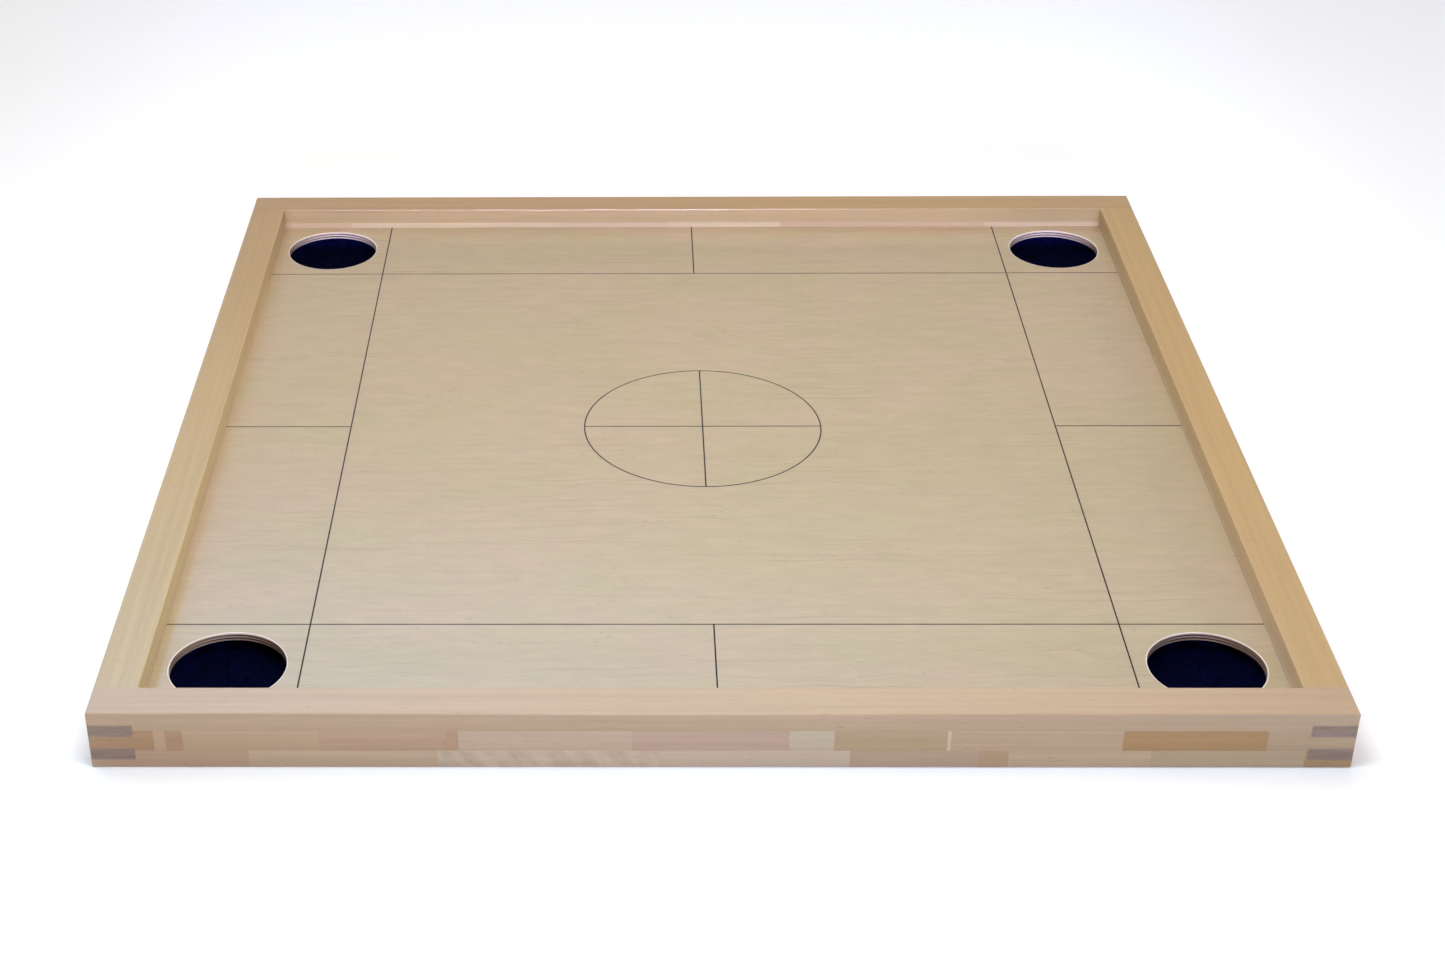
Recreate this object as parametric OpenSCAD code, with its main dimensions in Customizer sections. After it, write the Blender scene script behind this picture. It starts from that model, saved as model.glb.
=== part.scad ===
// Corner-pocket disc game board: a square plywood field sunk between four finger-jointed rails,
// with a cloth pouch under a round hole in each corner.
// The origin is at the middle of the plane that the rails stand on. +X is right, +Y is back, +Z is up.

/* [Playing field] */
// Side of the square field between the rails
field = 1000; // [600:10:1200]
// Thickness of the plywood panel
panel_t = 8; // [6:0.5:12]
// How far the panel runs into the groove of each rail
groove_depth = 8; // [4:1:14]

/* [Rails] */
// Width of a rail, seen from above
rail_w = 39; // [30:1:60]
// Height of a rail
rail_h = 56.5; // [50:0.5:80]
// Height of the rails above the field
rail_lip = 24; // [18:0.5:26]
// Height of one finger of the corner joints, the lowest one being what is left
finger_h = 12; // [10:0.5:13]

/* [Pockets] */
// Diameter of a pocket hole
pocket_d = 104; // [80:1:110]
// Distance from a hole's centre to each of the two rails beside it
pocket_inset = 65.5; // [60:0.5:75]
// Radius of a pouch's turned-out hem
hem_r = 63; // [58:0.5:63]
// Largest outside radius of a pouch
pouch_r = 60; // [56:0.5:62]
// Thickness of the pouch's cloth with its folds
cloth_t = 1.5; // [1:0.1:2]
// Height of a pouch above the surface that the board stands on
pouch_gap = 2; // [1:0.5:6]
// Width of the tape over the hem
tape_w = 7; // [5:0.5:8]
// Thickness of the tape
tape_t = 1.2; // [0.8:0.1:1.6]

/* [Marking lines] */
// Distance from a rail to the line that runs beside it
zone_depth = 131.5; // [125:0.5:150]
// Radius of the centre circle
circle_r = 123.5; // [60:0.5:150]
// Width of a line
line_w = 1.4; // [0.8:0.1:3]
// Depth of a line's groove
line_depth = 0.3; // [0.1:0.1:0.6]

/* [Underside] */
// Width of a stiffening batten
batten_w = 45; // [30:1:60]
// Height of a stiffening batten
batten_h = 20; // [12:0.5:20]
// Distance between the screws along a batten
screw_pitch = 150; // [100:10:220]
// Length of a screw
screw_l = 25; // [22:0.5:26]
// Staples round each hem
staples = 12; // [6:1:16]

/* [Hidden] */
$fn = 96;

half = field / 2;
outer_half = half + rail_w;
panel_top = rail_h - rail_lip;
panel_under = panel_top - panel_t;
panel_side = field + 2 * groove_depth;
pocket_xy = half - pocket_inset;
pocket_r = pocket_d / 2;
zone_xy = half - zone_depth;
last_level = 4;
long_levels = [0, 2, last_level];
short_levels = [1, 3];
eps = 1;

// A pouch's profile, from the hem down
neck_r = pocket_r + 0.5;
neck_drop = 5;
shoulder_drop = 7;
pouch_corner = 9;

tape_r = (hem_r + neck_r + cloth_t) / 2;
tape_top = panel_under - cloth_t;
tape_under = tape_top - tape_t;

// Staples
crown_l = 10;
crown_w = 1.2;
crown_t = 0.7;
leg_l = 8;

// Screws
head_r = 3.5;
shank_r = 1.75;
head_h = 2.5;
recess_w = 0.9;
recess_l = 3.6;
recess_depth = 1.4;
batten_under = panel_under - batten_h;
screws_each_way = floor((half - batten_w) / screw_pitch);

pine = [0.86, 0.72, 0.50];
birch = [0.82, 0.68, 0.49];
veneer = [0.79, 0.72, 0.62];
ink = [0.16, 0.11, 0.09];
navy = [0.03, 0.04, 0.16];
black = [0.08, 0.08, 0.10];
steel = [0.70, 0.71, 0.73];

// ---- Panel ----

module line_outline() {
    for (turn = [0:90:270]) {
        rotate(turn) {
            translate([-half, zone_xy - line_w / 2]) square([field, line_w]);
            translate([-line_w / 2, zone_xy]) square([line_w, zone_depth]);
        }
    }
    difference() {
        circle(r = circle_r + line_w / 2);
        circle(r = circle_r - line_w / 2);
    }
    square([2 * circle_r, line_w], center = true);
    square([line_w, 2 * circle_r], center = true);
}

module pocket_place(side_x, side_y) {
    translate([side_x * pocket_xy, side_y * pocket_xy, 0]) children();
}

module at_each_pocket() {
    for (side_x = [-1, 1]) {
        for (side_y = [-1, 1]) {
            pocket_place(side_x, side_y) children();
        }
    }
}

module panel_blank() {
    translate([-panel_side / 2, -panel_side / 2, panel_under])
        cube([panel_side, panel_side, panel_t]);
}

module playing_panel() {
    color(veneer)
    difference() {
        panel_blank();
        at_each_pocket()
            translate([0, 0, panel_under - eps]) cylinder(h = panel_t + 2 * eps, r = pocket_r);
        translate([0, 0, panel_top - line_depth])
            linear_extrude(line_depth + eps) line_outline();
        at_each_pocket() staple_legs();
        at_each_screw() screw_body();
    }
}

module marking_lines() {
    color(ink)
    translate([0, 0, panel_top - line_depth])
        linear_extrude(line_depth) line_outline();
}

// ---- Rails ----

// The levels of the corner joints, counted from the top. Even ones are fingers of the front and
// back rails, and odd ones are fingers of the left and right rails.
module joint_level(level) {
    top = rail_h - level * finger_h;
    bottom = level == last_level ? 0 : top - finger_h;
    translate([0, 0, bottom]) linear_extrude(top - bottom) square(2 * outer_half, center = true);
}

// A rail along X, on the -Y side, as long as the board is wide.
module rail_blank(length) {
    translate([-length / 2, -outer_half, 0]) cube([length, rail_w, rail_h]);
}

// A rail with its fingers at the given levels and its groove for the panel.
module rail(levels) {
    difference() {
        union() {
            rail_blank(field);
            for (level = levels) {
                intersection() {
                    rail_blank(2 * outer_half);
                    joint_level(level);
                }
            }
        }
        panel_blank();
    }
}

module front_rail() {
    color(birch) rail(long_levels);
}

module back_rail() {
    color(birch) rotate(180) rail(long_levels);
}

module left_rail() {
    color(birch) rotate(-90) rail(short_levels);
}

module right_rail() {
    color(birch) rotate(90) rail(short_levels);
}

// ---- Pouches ----

// The outline of half a pouch's section. inset moves it in from the outer face of the cloth.
function pouch_wall(inset) = concat(
    [
        [neck_r + cloth_t - inset, panel_under],
        [neck_r + cloth_t - inset, panel_under - neck_drop],
        [pouch_r - inset, panel_under - neck_drop - shoulder_drop]
    ],
    [
        for (turn = [0:15:90])
        [
            pouch_r - pouch_corner + (pouch_corner - inset) * cos(turn),
            pouch_gap + pouch_corner - (pouch_corner - inset) * sin(turn)
        ]
    ],
    [[0, pouch_gap + inset]]
);

function reversed(points) = [for (i = [len(points) - 1:-1:0]) points[i]];

module pouch() {
    difference() {
        union() {
            rotate_extrude() polygon(concat(pouch_wall(0), reversed(pouch_wall(cloth_t))));
            translate([0, 0, tape_top])
                difference() {
                    cylinder(h = cloth_t, r = hem_r);
                    translate([0, 0, -eps]) cylinder(h = cloth_t + 2 * eps, r = neck_r);
                }
        }
        staple_legs();
    }
}

module hem_tape() {
    difference() {
        translate([0, 0, tape_under]) cylinder(h = tape_t, r = tape_r + tape_w / 2);
        translate([0, 0, tape_under - eps]) cylinder(h = tape_t + 2 * eps, r = tape_r - tape_w / 2);
        staple_legs();
    }
}

module front_left_pouch() {
    color(navy) pocket_place(-1, -1) pouch();
}

module front_right_pouch() {
    color(navy) pocket_place(1, -1) pouch();
}

module back_left_pouch() {
    color(navy) pocket_place(-1, 1) pouch();
}

module back_right_pouch() {
    color(navy) pocket_place(1, 1) pouch();
}

module front_left_hem_tape() {
    color(black) pocket_place(-1, -1) hem_tape();
}

module front_right_hem_tape() {
    color(black) pocket_place(1, -1) hem_tape();
}

module back_left_hem_tape() {
    color(black) pocket_place(-1, 1) hem_tape();
}

module back_right_hem_tape() {
    color(black) pocket_place(1, 1) hem_tape();
}

// ---- Staples ----

module at_each_staple() {
    for (i = [0:staples - 1]) {
        rotate((i + 0.5) * 360 / staples) translate([tape_r, 0, 0]) children();
    }
}

// The two legs of every staple round one pocket, from the tape's underside up into the panel.
module staple_legs() {
    at_each_staple()
        for (end = [-1, 1]) {
            translate([-crown_t / 2, end * (crown_l - crown_w) / 2 - crown_w / 2, tape_under])
                cube([crown_t, crown_w, leg_l]);
        }
}

module staple_crowns() {
    at_each_staple()
        translate([-crown_t / 2, -crown_l / 2, tape_under - crown_t])
            cube([crown_t, crown_l, crown_t]);
}

module hem_staples() {
    color(steel)
    at_each_pocket() {
        staple_legs();
        staple_crowns();
    }
}

// ---- Battens ----

module batten_blank() {
    translate([-half, -batten_w / 2, batten_under]) cube([field, batten_w, batten_h]);
}

// The half of the crossing that each batten leaves to the other.
module lap(lower) {
    translate([-batten_w / 2, -batten_w / 2, lower ? batten_under - eps : batten_under + batten_h / 2])
        cube([batten_w, batten_w, batten_h / 2 + eps]);
}

module cross_batten() {
    color(pine)
    difference() {
        batten_blank();
        lap(true);
        at_each_screw() screw_body();
    }
}

module long_batten() {
    color(pine)
    difference() {
        rotate(90) batten_blank();
        lap(false);
        at_each_screw() screw_body();
    }
}

module at_each_screw() {
    for (i = [-screws_each_way:screws_each_way]) {
        translate([i * screw_pitch, 0, batten_under]) children();
        if (i != 0) {
            translate([0, i * screw_pitch, batten_under]) children();
        }
    }
}

// A countersunk screw, standing on its head.
module screw_body() {
    cylinder(h = head_h, r1 = head_r, r2 = shank_r);
    cylinder(h = screw_l, r = shank_r);
}

module screw() {
    difference() {
        screw_body();
        for (turn = [0, 90]) {
            rotate(turn)
                translate([-recess_l / 2, -recess_w / 2, -eps])
                    cube([recess_l, recess_w, recess_depth + eps]);
        }
    }
}

module batten_screws() {
    color(steel) at_each_screw() screw();
}

playing_panel();
marking_lines();
front_rail();
back_rail();
left_rail();
right_rail();
front_left_pouch();
front_right_pouch();
back_left_pouch();
back_right_pouch();
front_left_hem_tape();
front_right_hem_tape();
back_left_hem_tape();
back_right_hem_tape();
hem_staples();
cross_batten();
long_batten();
batten_screws();
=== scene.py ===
"""Looks of a corner-pocket disc game board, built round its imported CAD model.

Lengths are in millimetres in the row frame until a mesh is made, and in metres from then on. +X is
right, +Y is away from the front rail, +Z is up, and the rails stand on z = 0.
"""

import logging
import math
from dataclasses import dataclass
from enum import Enum
from typing import Any, Sequence

import bpy
import numpy as np
from mathutils import Euler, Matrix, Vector


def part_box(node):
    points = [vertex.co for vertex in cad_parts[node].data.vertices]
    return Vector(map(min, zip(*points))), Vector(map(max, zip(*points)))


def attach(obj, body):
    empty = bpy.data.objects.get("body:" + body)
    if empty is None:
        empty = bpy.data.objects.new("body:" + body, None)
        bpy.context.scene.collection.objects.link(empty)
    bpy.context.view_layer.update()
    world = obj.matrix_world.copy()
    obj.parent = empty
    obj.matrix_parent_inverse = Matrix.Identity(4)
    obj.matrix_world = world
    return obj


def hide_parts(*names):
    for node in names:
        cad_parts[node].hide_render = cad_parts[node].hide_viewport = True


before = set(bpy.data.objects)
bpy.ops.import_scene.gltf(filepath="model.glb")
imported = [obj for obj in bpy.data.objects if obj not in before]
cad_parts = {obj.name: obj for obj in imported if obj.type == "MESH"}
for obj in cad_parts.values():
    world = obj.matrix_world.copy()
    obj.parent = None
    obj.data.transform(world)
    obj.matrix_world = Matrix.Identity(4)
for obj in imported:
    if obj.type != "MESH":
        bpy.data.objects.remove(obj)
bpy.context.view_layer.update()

MM = 0.001
ROOT = "root"
MIX_A, MIX_B = 6, 7  # the two colour sockets of a Mix node
COLOUR_MIX = {"output": 2, "data_type": "RGBA"}  # the settings of one that mixes colours

log = logging.getLogger("board")

Vector3 = tuple[float, float, float]
Pair = tuple[float, float]
Sockets = dict[str, Any]


# ---------------------------------------------------------------- shared helpers


def srgb(code: str) -> tuple[float, float, float, float]:
    """Turns an sRGB hex colour into the linear colour that shaders take.

    Args:
        code: Six hex digits, such as "c8b496".

    Returns:
        Linear red, green and blue, and an alpha of 1.
    """
    parts = [int(code[i : i + 2], 16) / 255 for i in (0, 2, 4)]
    linear = [p / 12.92 if p <= 0.04045 else ((p + 0.055) / 1.055) ** 2.4 for p in parts]
    return (linear[0], linear[1], linear[2], 1.0)


def fill_sockets(tree: Any, node: Any, inputs: dict) -> None:
    """Links sockets to other nodes' outputs, or gives them their values.

    Args:
        tree: The node tree.
        node: The node whose inputs are filled.
        inputs: Socket names or numbers, each with a value or with another node's output.
    """
    for key, value in inputs.items():
        if isinstance(value, bpy.types.NodeSocket):
            tree.links.new(value, node.inputs[key])
        else:
            node.inputs[key].default_value = value


def add_node(
    tree: Any, kind: str, inputs: dict | None = None, output: int | str = 0, **settings: Any
) -> bpy.types.NodeSocket:
    """Adds one shader node with its settings and links.

    Args:
        tree: The node tree.
        kind: The node's type, without its "ShaderNode" prefix.
        inputs: Socket names or numbers, each with a value or with another node's output.
        output: The output to hand back.
        settings: Properties of the node itself.

    Returns:
        The chosen output socket.
    """
    node = tree.nodes.new("ShaderNode" + kind)
    for name, value in settings.items():
        setattr(node, name, value)
    fill_sockets(tree, node, inputs or {})
    return node.outputs[output]


def ramp(value: Any, span: Pair, reach: Pair) -> Sockets:
    """Gives the inputs that map a value's span to what its two ends become."""
    return {"Value": value, "From Min": span[0], "From Max": span[1], "To Min": reach[0], "To Max": reach[1]}


def sized_noise(tree: Any, at: Any, size: Vector3, detail: float, **more: float) -> Any:
    """Adds a noise pattern whose features have a real size.

    Args:
        tree: The node tree.
        at: The coordinates to lay it on, in metres.
        size: A feature's size along X, Y and Z, in millimetres.
        detail: How many finer layers it holds.
        more: The noise's other sockets.

    Returns:
        The pattern's value, about a half on average.
    """
    factors = tuple(1 / (part * MM) for part in size)
    place = add_node(tree, "VectorMath", {0: at, 1: factors}, operation="MULTIPLY")
    return add_node(tree, "TexNoise", {"Vector": place, "Scale": 1.0, "Detail": detail, **more})


def shaded(tree: Any, colour: Any, value: Any, span: Pair, shades: Pair) -> Any:
    """Darkens or brightens a colour by a pattern.

    Args:
        tree: The node tree.
        colour: The colour.
        value: The pattern.
        span: The pattern's low and high end.
        shades: The colour's factors at those ends.

    Returns:
        The shaded colour.
    """
    shade = add_node(tree, "MapRange", ramp(value, span, shades))
    return add_node(tree, "VectorMath", {0: colour, "Scale": shade}, operation="SCALE")


def stained(tree: Any, colour: Any, value: Any, span: Pair, most: float, stain: str) -> Any:
    """Mixes a stain into a colour by a pattern.

    Args:
        tree: The node tree.
        colour: The colour.
        value: The pattern.
        span: The pattern's values without stain and with the most of it.
        most: The stain's largest share.
        stain: The stain as sRGB hex.

    Returns:
        The stained colour.
    """
    share = add_node(tree, "MapRange", ramp(value, span, (0.0, most)))
    return add_node(tree, "Mix", {0: share, MIX_A: colour, MIX_B: srgb(stain)}, **COLOUR_MIX)


def box_mm(node: str) -> tuple[np.ndarray, np.ndarray]:
    """Gives a CAD node's lowest and highest corner in millimetres."""
    low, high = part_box(node)
    return np.array(low) / MM, np.array(high) / MM


def edge_steps(radius: float, steps: int = 4) -> np.ndarray:
    """Gives the distances from an edge of the grid lines that its easing needs.

    For equal turns t from 0 to a right angle they are radius (1 - tan(t / 2)), so the eased arc gets
    even segments. One more line, a quarter radius further in, keeps the flat face flat.

    Args:
        radius: The easing's radius, in millimetres.
        steps: Segments in half the arc.

    Returns:
        The distances, from the edge inwards.
    """
    turns = np.linspace(0, math.pi / 2, steps + 1)
    arc = radius * (1 - np.tan(turns / 2))
    return np.unique(np.round(np.concatenate([arc, [radius * 1.25]]), 5))


def turn_about_z(turn: float) -> np.ndarray:
    """Gives the matrix of a turn about Z in radians, anticlockwise from above."""
    return np.array([[math.cos(turn), -math.sin(turn), 0], [math.sin(turn), math.cos(turn), 0], [0, 0, 1]])


def full_circle(steps: int) -> np.ndarray:
    """Gives evenly spaced turns round a circle, in radians."""
    return np.linspace(0, 2 * math.pi, steps, endpoint=False)


def round_points(radius: Any, height: Any, turn: np.ndarray) -> np.ndarray:
    """Gives the points (r cos t, r sin t, z) of a round shape, row by row.

    Args:
        radius: Radii r, one to a row or one to a point.
        height: Heights z, likewise.
        turn: Turns t, one to a column, in radians.

    Returns:
        The points, one to a row.
    """
    points = np.broadcast_arrays(radius * np.cos(turn), radius * np.sin(turn), height)
    return np.stack(points, axis=-1).reshape(-1, 3)


def run_along(line: np.ndarray) -> np.ndarray:
    """Gives each point's distance from the first one, measured along the line."""
    return np.concatenate([[0], np.cumsum(np.linalg.norm(np.diff(line, axis=0), axis=1))])


@dataclass
class Surface:
    """A mesh on its way to Blender.

    Attributes:
        points: Vertex places in millimetres, one row each.
        quads: Vertex numbers, four to a row.
        material: Material slot number of each face.
    """

    points: np.ndarray
    quads: np.ndarray
    material: np.ndarray | None = None

    def welded(self, tolerance: float = 1e-3) -> "Surface":
        """Joins vertices that share a place, so that seams between patches close.

        Args:
            tolerance: How close two places count as one, in millimetres.

        Returns:
            The joined surface.
        """
        keys = np.round(self.points / tolerance).astype(np.int64)
        _, first, back = np.unique(keys, axis=0, return_index=True, return_inverse=True)
        return Surface(self.points[first], back.reshape(-1)[self.quads], self.material)

    def to_object(self, name: str, materials: Sequence[Any], sharp_degrees: float = 35) -> Any:
        """Makes the Blender object, with smooth shading that breaks at sharp edges.

        Args:
            name: The piece's name.
            materials: Its materials, in slot order.
            sharp_degrees: Edges that turn more than this are sharp.

        Returns:
            The new object, linked to the scene.
        """
        mesh = bpy.data.meshes.new(name)
        mesh.from_pydata((self.points * MM).tolist(), [], self.quads.tolist())
        for material in materials:
            mesh.materials.append(material)
        if self.material is not None:
            mesh.polygons.foreach_set("material_index", self.material.astype(np.int32))
        mesh.polygons.foreach_set("use_smooth", np.ones(len(mesh.polygons), dtype=bool))
        mesh.set_sharp_from_angle(angle=math.radians(sharp_degrees))
        mesh.validate()
        mesh.update()
        piece = bpy.data.objects.new(name, mesh)
        bpy.context.scene.collection.objects.link(piece)
        return piece


LaidOut = tuple[Surface, np.ndarray]  # a surface, and where its vertices lie when it is laid flat


def joined(surfaces: Sequence[Surface]) -> Surface:
    """Puts several surfaces into one, keeping each one's vertices.

    Args:
        surfaces: The surfaces.

    Returns:
        One surface, with material 0 where a surface had none.
    """
    starts = np.cumsum([0] + [len(s.points) for s in surfaces[:-1]])
    material = [np.zeros(len(s.quads), int) if s.material is None else s.material for s in surfaces]
    return Surface(
        np.concatenate([s.points for s in surfaces]),
        np.concatenate([s.quads + start for s, start in zip(surfaces, starts)]),
        np.concatenate(material),
    )


def grid_quads(rows: int, columns: int, closed: bool = False) -> np.ndarray:
    """Numbers the quads of a grid of vertices stored row by row.

    Args:
        rows: How many rows of vertices there are.
        columns: How many vertices each row has.
        closed: Whether each row's last vertex joins its first.

    Returns:
        Four vertex numbers per quad, turning from column to row.
    """
    row, column = np.indices((rows - 1, columns if closed else columns - 1)).reshape(2, -1)
    after = (column + 1) % columns
    here, above = row * columns, (row + 1) * columns
    return np.stack([here + column, here + after, above + after, above + column], axis=1)


@dataclass
class Cells:
    """A solid made of the filled cells of an uneven grid.

    Attributes:
        lines: The grid's lines along X, Y and Z, in millimetres.
        filled: Which cells are solid.
    """

    lines: tuple[np.ndarray, np.ndarray, np.ndarray]
    filled: np.ndarray

    def skin(self) -> tuple[Surface, np.ndarray, np.ndarray]:
        """Finds the faces between filled and empty cells.

        A face lies wherever a cell and its neighbour along an axis differ, and it looks from the filled
        one to the empty one.

        Returns:
            The closed surface, the filled cell behind each face, and each face's outward axis as
            1, 2 or 3 with its sign.
        """
        padded = np.pad(self.filled, 1)
        shape = np.array([len(line) for line in self.lines])
        quads, owners, sides = [], [], []
        for axis in range(3):
            u, v = (axis + 1) % 3, (axis + 2) % 3
            low = np.take(padded, np.arange(padded.shape[axis] - 1), axis=axis)
            high = np.take(padded, np.arange(1, padded.shape[axis]), axis=axis)
            for sign, found in ((1, low & ~high), (-1, high & ~low)):
                cell = np.argwhere(found)
                cell[:, u] -= 1
                cell[:, v] -= 1
                corner = np.repeat(cell[:, None, :], 4, axis=1)
                forth = ((0, 0), (1, 0), (1, 1), (0, 1))
                back_round = ((0, 0), (0, 1), (1, 1), (1, 0))
                for place, (du, dv) in enumerate(forth if sign > 0 else back_round):
                    corner[:, place, u] += du
                    corner[:, place, v] += dv
                quads.append(np.ravel_multi_index(tuple(np.moveaxis(corner, 2, 0)), tuple(shape)))
                owner = cell.copy()
                owner[:, axis] -= 1 if sign > 0 else 0
                owners.append(owner)
                sides.append(np.full(len(cell), sign * (axis + 1)))
        quad = np.concatenate(quads)
        used, back = np.unique(quad, return_inverse=True)
        index = np.stack(np.unravel_index(used, tuple(shape)), axis=1)
        points = np.stack([self.lines[axis][index[:, axis]] for axis in range(3)], axis=1)
        return Surface(points, back.reshape(quad.shape)), np.concatenate(owners), np.concatenate(sides)

    def middles(self, axis: int) -> np.ndarray:
        """Gives the middle of each cell along one axis."""
        line = self.lines[axis]
        return (line[1:] + line[:-1]) / 2

    def centres(self) -> list[np.ndarray]:
        """Gives every cell's middle as three grids of X, Y and Z."""
        return np.meshgrid(*(self.middles(axis) for axis in range(3)), indexing="ij")


def place_piece(piece: Any, slot: str, *nodes: str) -> None:
    """Hangs a finished piece on the frame and reports it.

    Args:
        piece: The Blender object.
        slot: The record's material slot; not used.
        nodes: The CAD nodes that it stands for.
    """
    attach(piece, ROOT)
    if nodes:
        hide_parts(*nodes)
    log.info("%s: %d faces", piece.name, len(piece.data.polygons))


# ---------------------------------------------------------------- the board's sizes


@dataclass(frozen=True)
class Board:
    """The sizes that the sub-assemblies share, in millimetres.

    Attributes:
        half: Half the field between the rails.
        outer: Half the board's outside.
        rail_h: Height of a rail.
        panel_top: Height of the field.
        panel_under: Height of the panel's underside.
        panel_half: Half the panel, with its tongues in the rails' grooves.
        pocket_xy: Distance of a pocket's centre from the board's middle lines.
        pocket_r: Radius of a pocket hole.
    """

    half: float
    outer: float
    rail_h: float
    panel_top: float
    panel_under: float
    panel_half: float
    pocket_xy: float
    pocket_r: float = 52.0

    @classmethod
    def from_frame(cls) -> "Board":
        """Reads the sizes from the CAD nodes' boxes.

        Returns:
            The board's sizes.
        """
        rail_low, rail_high = box_mm("left_rail")
        panel_low, panel_high = box_mm("playing_panel")
        tape_low, tape_high = box_mm("front_right_hem_tape")
        return cls(
            half=float(-rail_high[0]),
            outer=float(-rail_low[0]),
            rail_h=float(rail_high[2]),
            panel_top=float(panel_high[2]),
            panel_under=float(panel_low[2]),
            panel_half=float(panel_high[0]),
            pocket_xy=float((tape_low[0] + tape_high[0]) / 2),
        )

    def pockets(self) -> dict[str, Pair]:
        """Names the four pockets and gives their centres.

        Returns:
            Each pocket's centre by its name.
        """
        return {
            f"{depth}_{side}": (sx * self.pocket_xy, sy * self.pocket_xy)
            for depth, sy in (("front", -1), ("back", 1))
            for side, sx in (("left", -1), ("right", 1))
        }


# ---------------------------------------------------------------- finishes


@dataclass(frozen=True)
class Lacquer:
    """Clear satin lacquer over wood: a soft clear coat that keeps the wood's own colour.

    Attributes:
        weight: Strength of the coat.
        roughness: How soft its reflections are.
        ior: Its refraction index, that of a hard clear film.
        wood_gloss: What is left of the wood's own gloss under the coat.
    """

    weight: float = 0.9
    roughness: float = 0.2
    ior: float = 1.5
    wood_gloss: float = 0.15

    def sockets(self) -> Sockets:
        """Gives the coat's settings for a shader's own sockets."""
        return {
            "Specular IOR Level": self.wood_gloss,
            "Coat Weight": self.weight,
            "Coat Roughness": self.roughness,
            "Coat IOR": self.ior,
        }


@dataclass(frozen=True, kw_only=True)
class Finish:
    """A node material on one Principled shader, named for the real one.

    Attributes:
        name: The material's name.
    """

    name: str

    def paint(self, tree: Any) -> Sockets:
        """Adds the finish's own nodes.

        Args:
            tree: The material's node tree.

        Returns:
            The shader's inputs.
        """
        raise NotImplementedError

    def build(self) -> Any:
        """Makes the material.

        Returns:
            The new material.
        """
        material = bpy.data.materials.new(self.name)
        material.use_nodes = True
        tree = material.node_tree
        shader = next(node for node in tree.nodes if node.type == "BSDF_PRINCIPLED")
        fill_sockets(tree, shader, self.paint(tree))
        return material


@dataclass(frozen=True, kw_only=True)
class BirchLamella(Finish):
    """Planed, sanded and satin-lacquered birch strips, seen along their grain.

    Each strip's tone comes from the mesh, because every block was cut from a different board. Over it
    lie broad growth bands, fine fibres, short dark pores and, in some blocks, curly figure, which
    shows as pale and dark bars across the grain. Each size below is a feature's length along the
    grain, its width and its height.
    """

    name: str = "birch_lamella_satin_lacquer"
    lacquer: Lacquer = Lacquer()
    band_mm: Vector3 = (420, 7, 7)
    fibre_mm: Vector3 = (55, 0.9, 0.9)
    pore_mm: Vector3 = (11, 0.8, 0.8)
    fleck_mm: Vector3 = (13, 2.2, 2.2)
    drift_mm: Vector3 = (170, 30, 30)
    curl_mm: Vector3 = (13, 60, 40)
    curl_slant_deg: float = 32.0

    def paint(self, tree: Any) -> Sockets:
        """Lays drift, bands, fibres, pores, curl and flecks over the mesh's own tone.

        Args:
            tree: The material's node tree.

        Returns:
            The shader's inputs.
        """
        grain = add_node(tree, "Attribute", output="Vector", attribute_name="grain")
        tone = add_node(tree, "Attribute", output="Color", attribute_name="tone")
        curly = add_node(tree, "Attribute", output="Fac", attribute_name="curl")
        slant = (0.0, math.radians(self.curl_slant_deg), 0.0)
        slanted = add_node(tree, "Mapping", {"Vector": grain, "Rotation": slant})
        drift, band, fibre, pore, fleck, curl = (
            sized_noise(tree, at, size, detail, Roughness=0.6)
            for at, size, detail in (
                (grain, self.drift_mm, 3.0), (grain, self.band_mm, 4.0), (grain, self.fibre_mm, 3.0),
                (grain, self.pore_mm, 1.0), (grain, self.fleck_mm, 1.0), (slanted, self.curl_mm, 2.0),
            )
        )
        drifts = {0: drift, MIX_A: srgb("faeddb"), MIX_B: srgb("fdf6e4")}
        drifted = add_node(tree, "Mix", drifts, **COLOUR_MIX)
        tones = {0: 1.0, MIX_A: tone, MIX_B: drifted}
        colour = add_node(tree, "Mix", tones, blend_type="MULTIPLY", **COLOUR_MIX)
        for value, span, shades in (
            (band, (0.35, 0.65), (0.93, 1.04)),
            (fibre, (0.3, 0.7), (0.955, 1.03)),
            (pore, (0.66, 0.72), (1.0, 0.93)),
        ):
            colour = shaded(tree, colour, value, span, shades)
        bars = add_node(tree, "MapRange", ramp(curl, (0.36, 0.64), (-0.12, 0.12)))
        bars = add_node(tree, "Math", {0: bars, 1: curly, 2: 1.0}, operation="MULTIPLY_ADD")
        colour = add_node(tree, "VectorMath", {0: colour, "Scale": bars}, operation="SCALE")
        return {
            "Base Color": stained(tree, colour, fleck, (0.735, 0.79), 0.4, "7d5a3c"),
            "Roughness": add_node(tree, "MapRange", ramp(fibre, (0.2, 0.8), (0.40, 0.55))),
            "Normal": add_node(tree, "Bump", {"Height": fibre, "Strength": 0.12, "Distance": 0.0002}),
            **self.lacquer.sockets(),
        }


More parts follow.
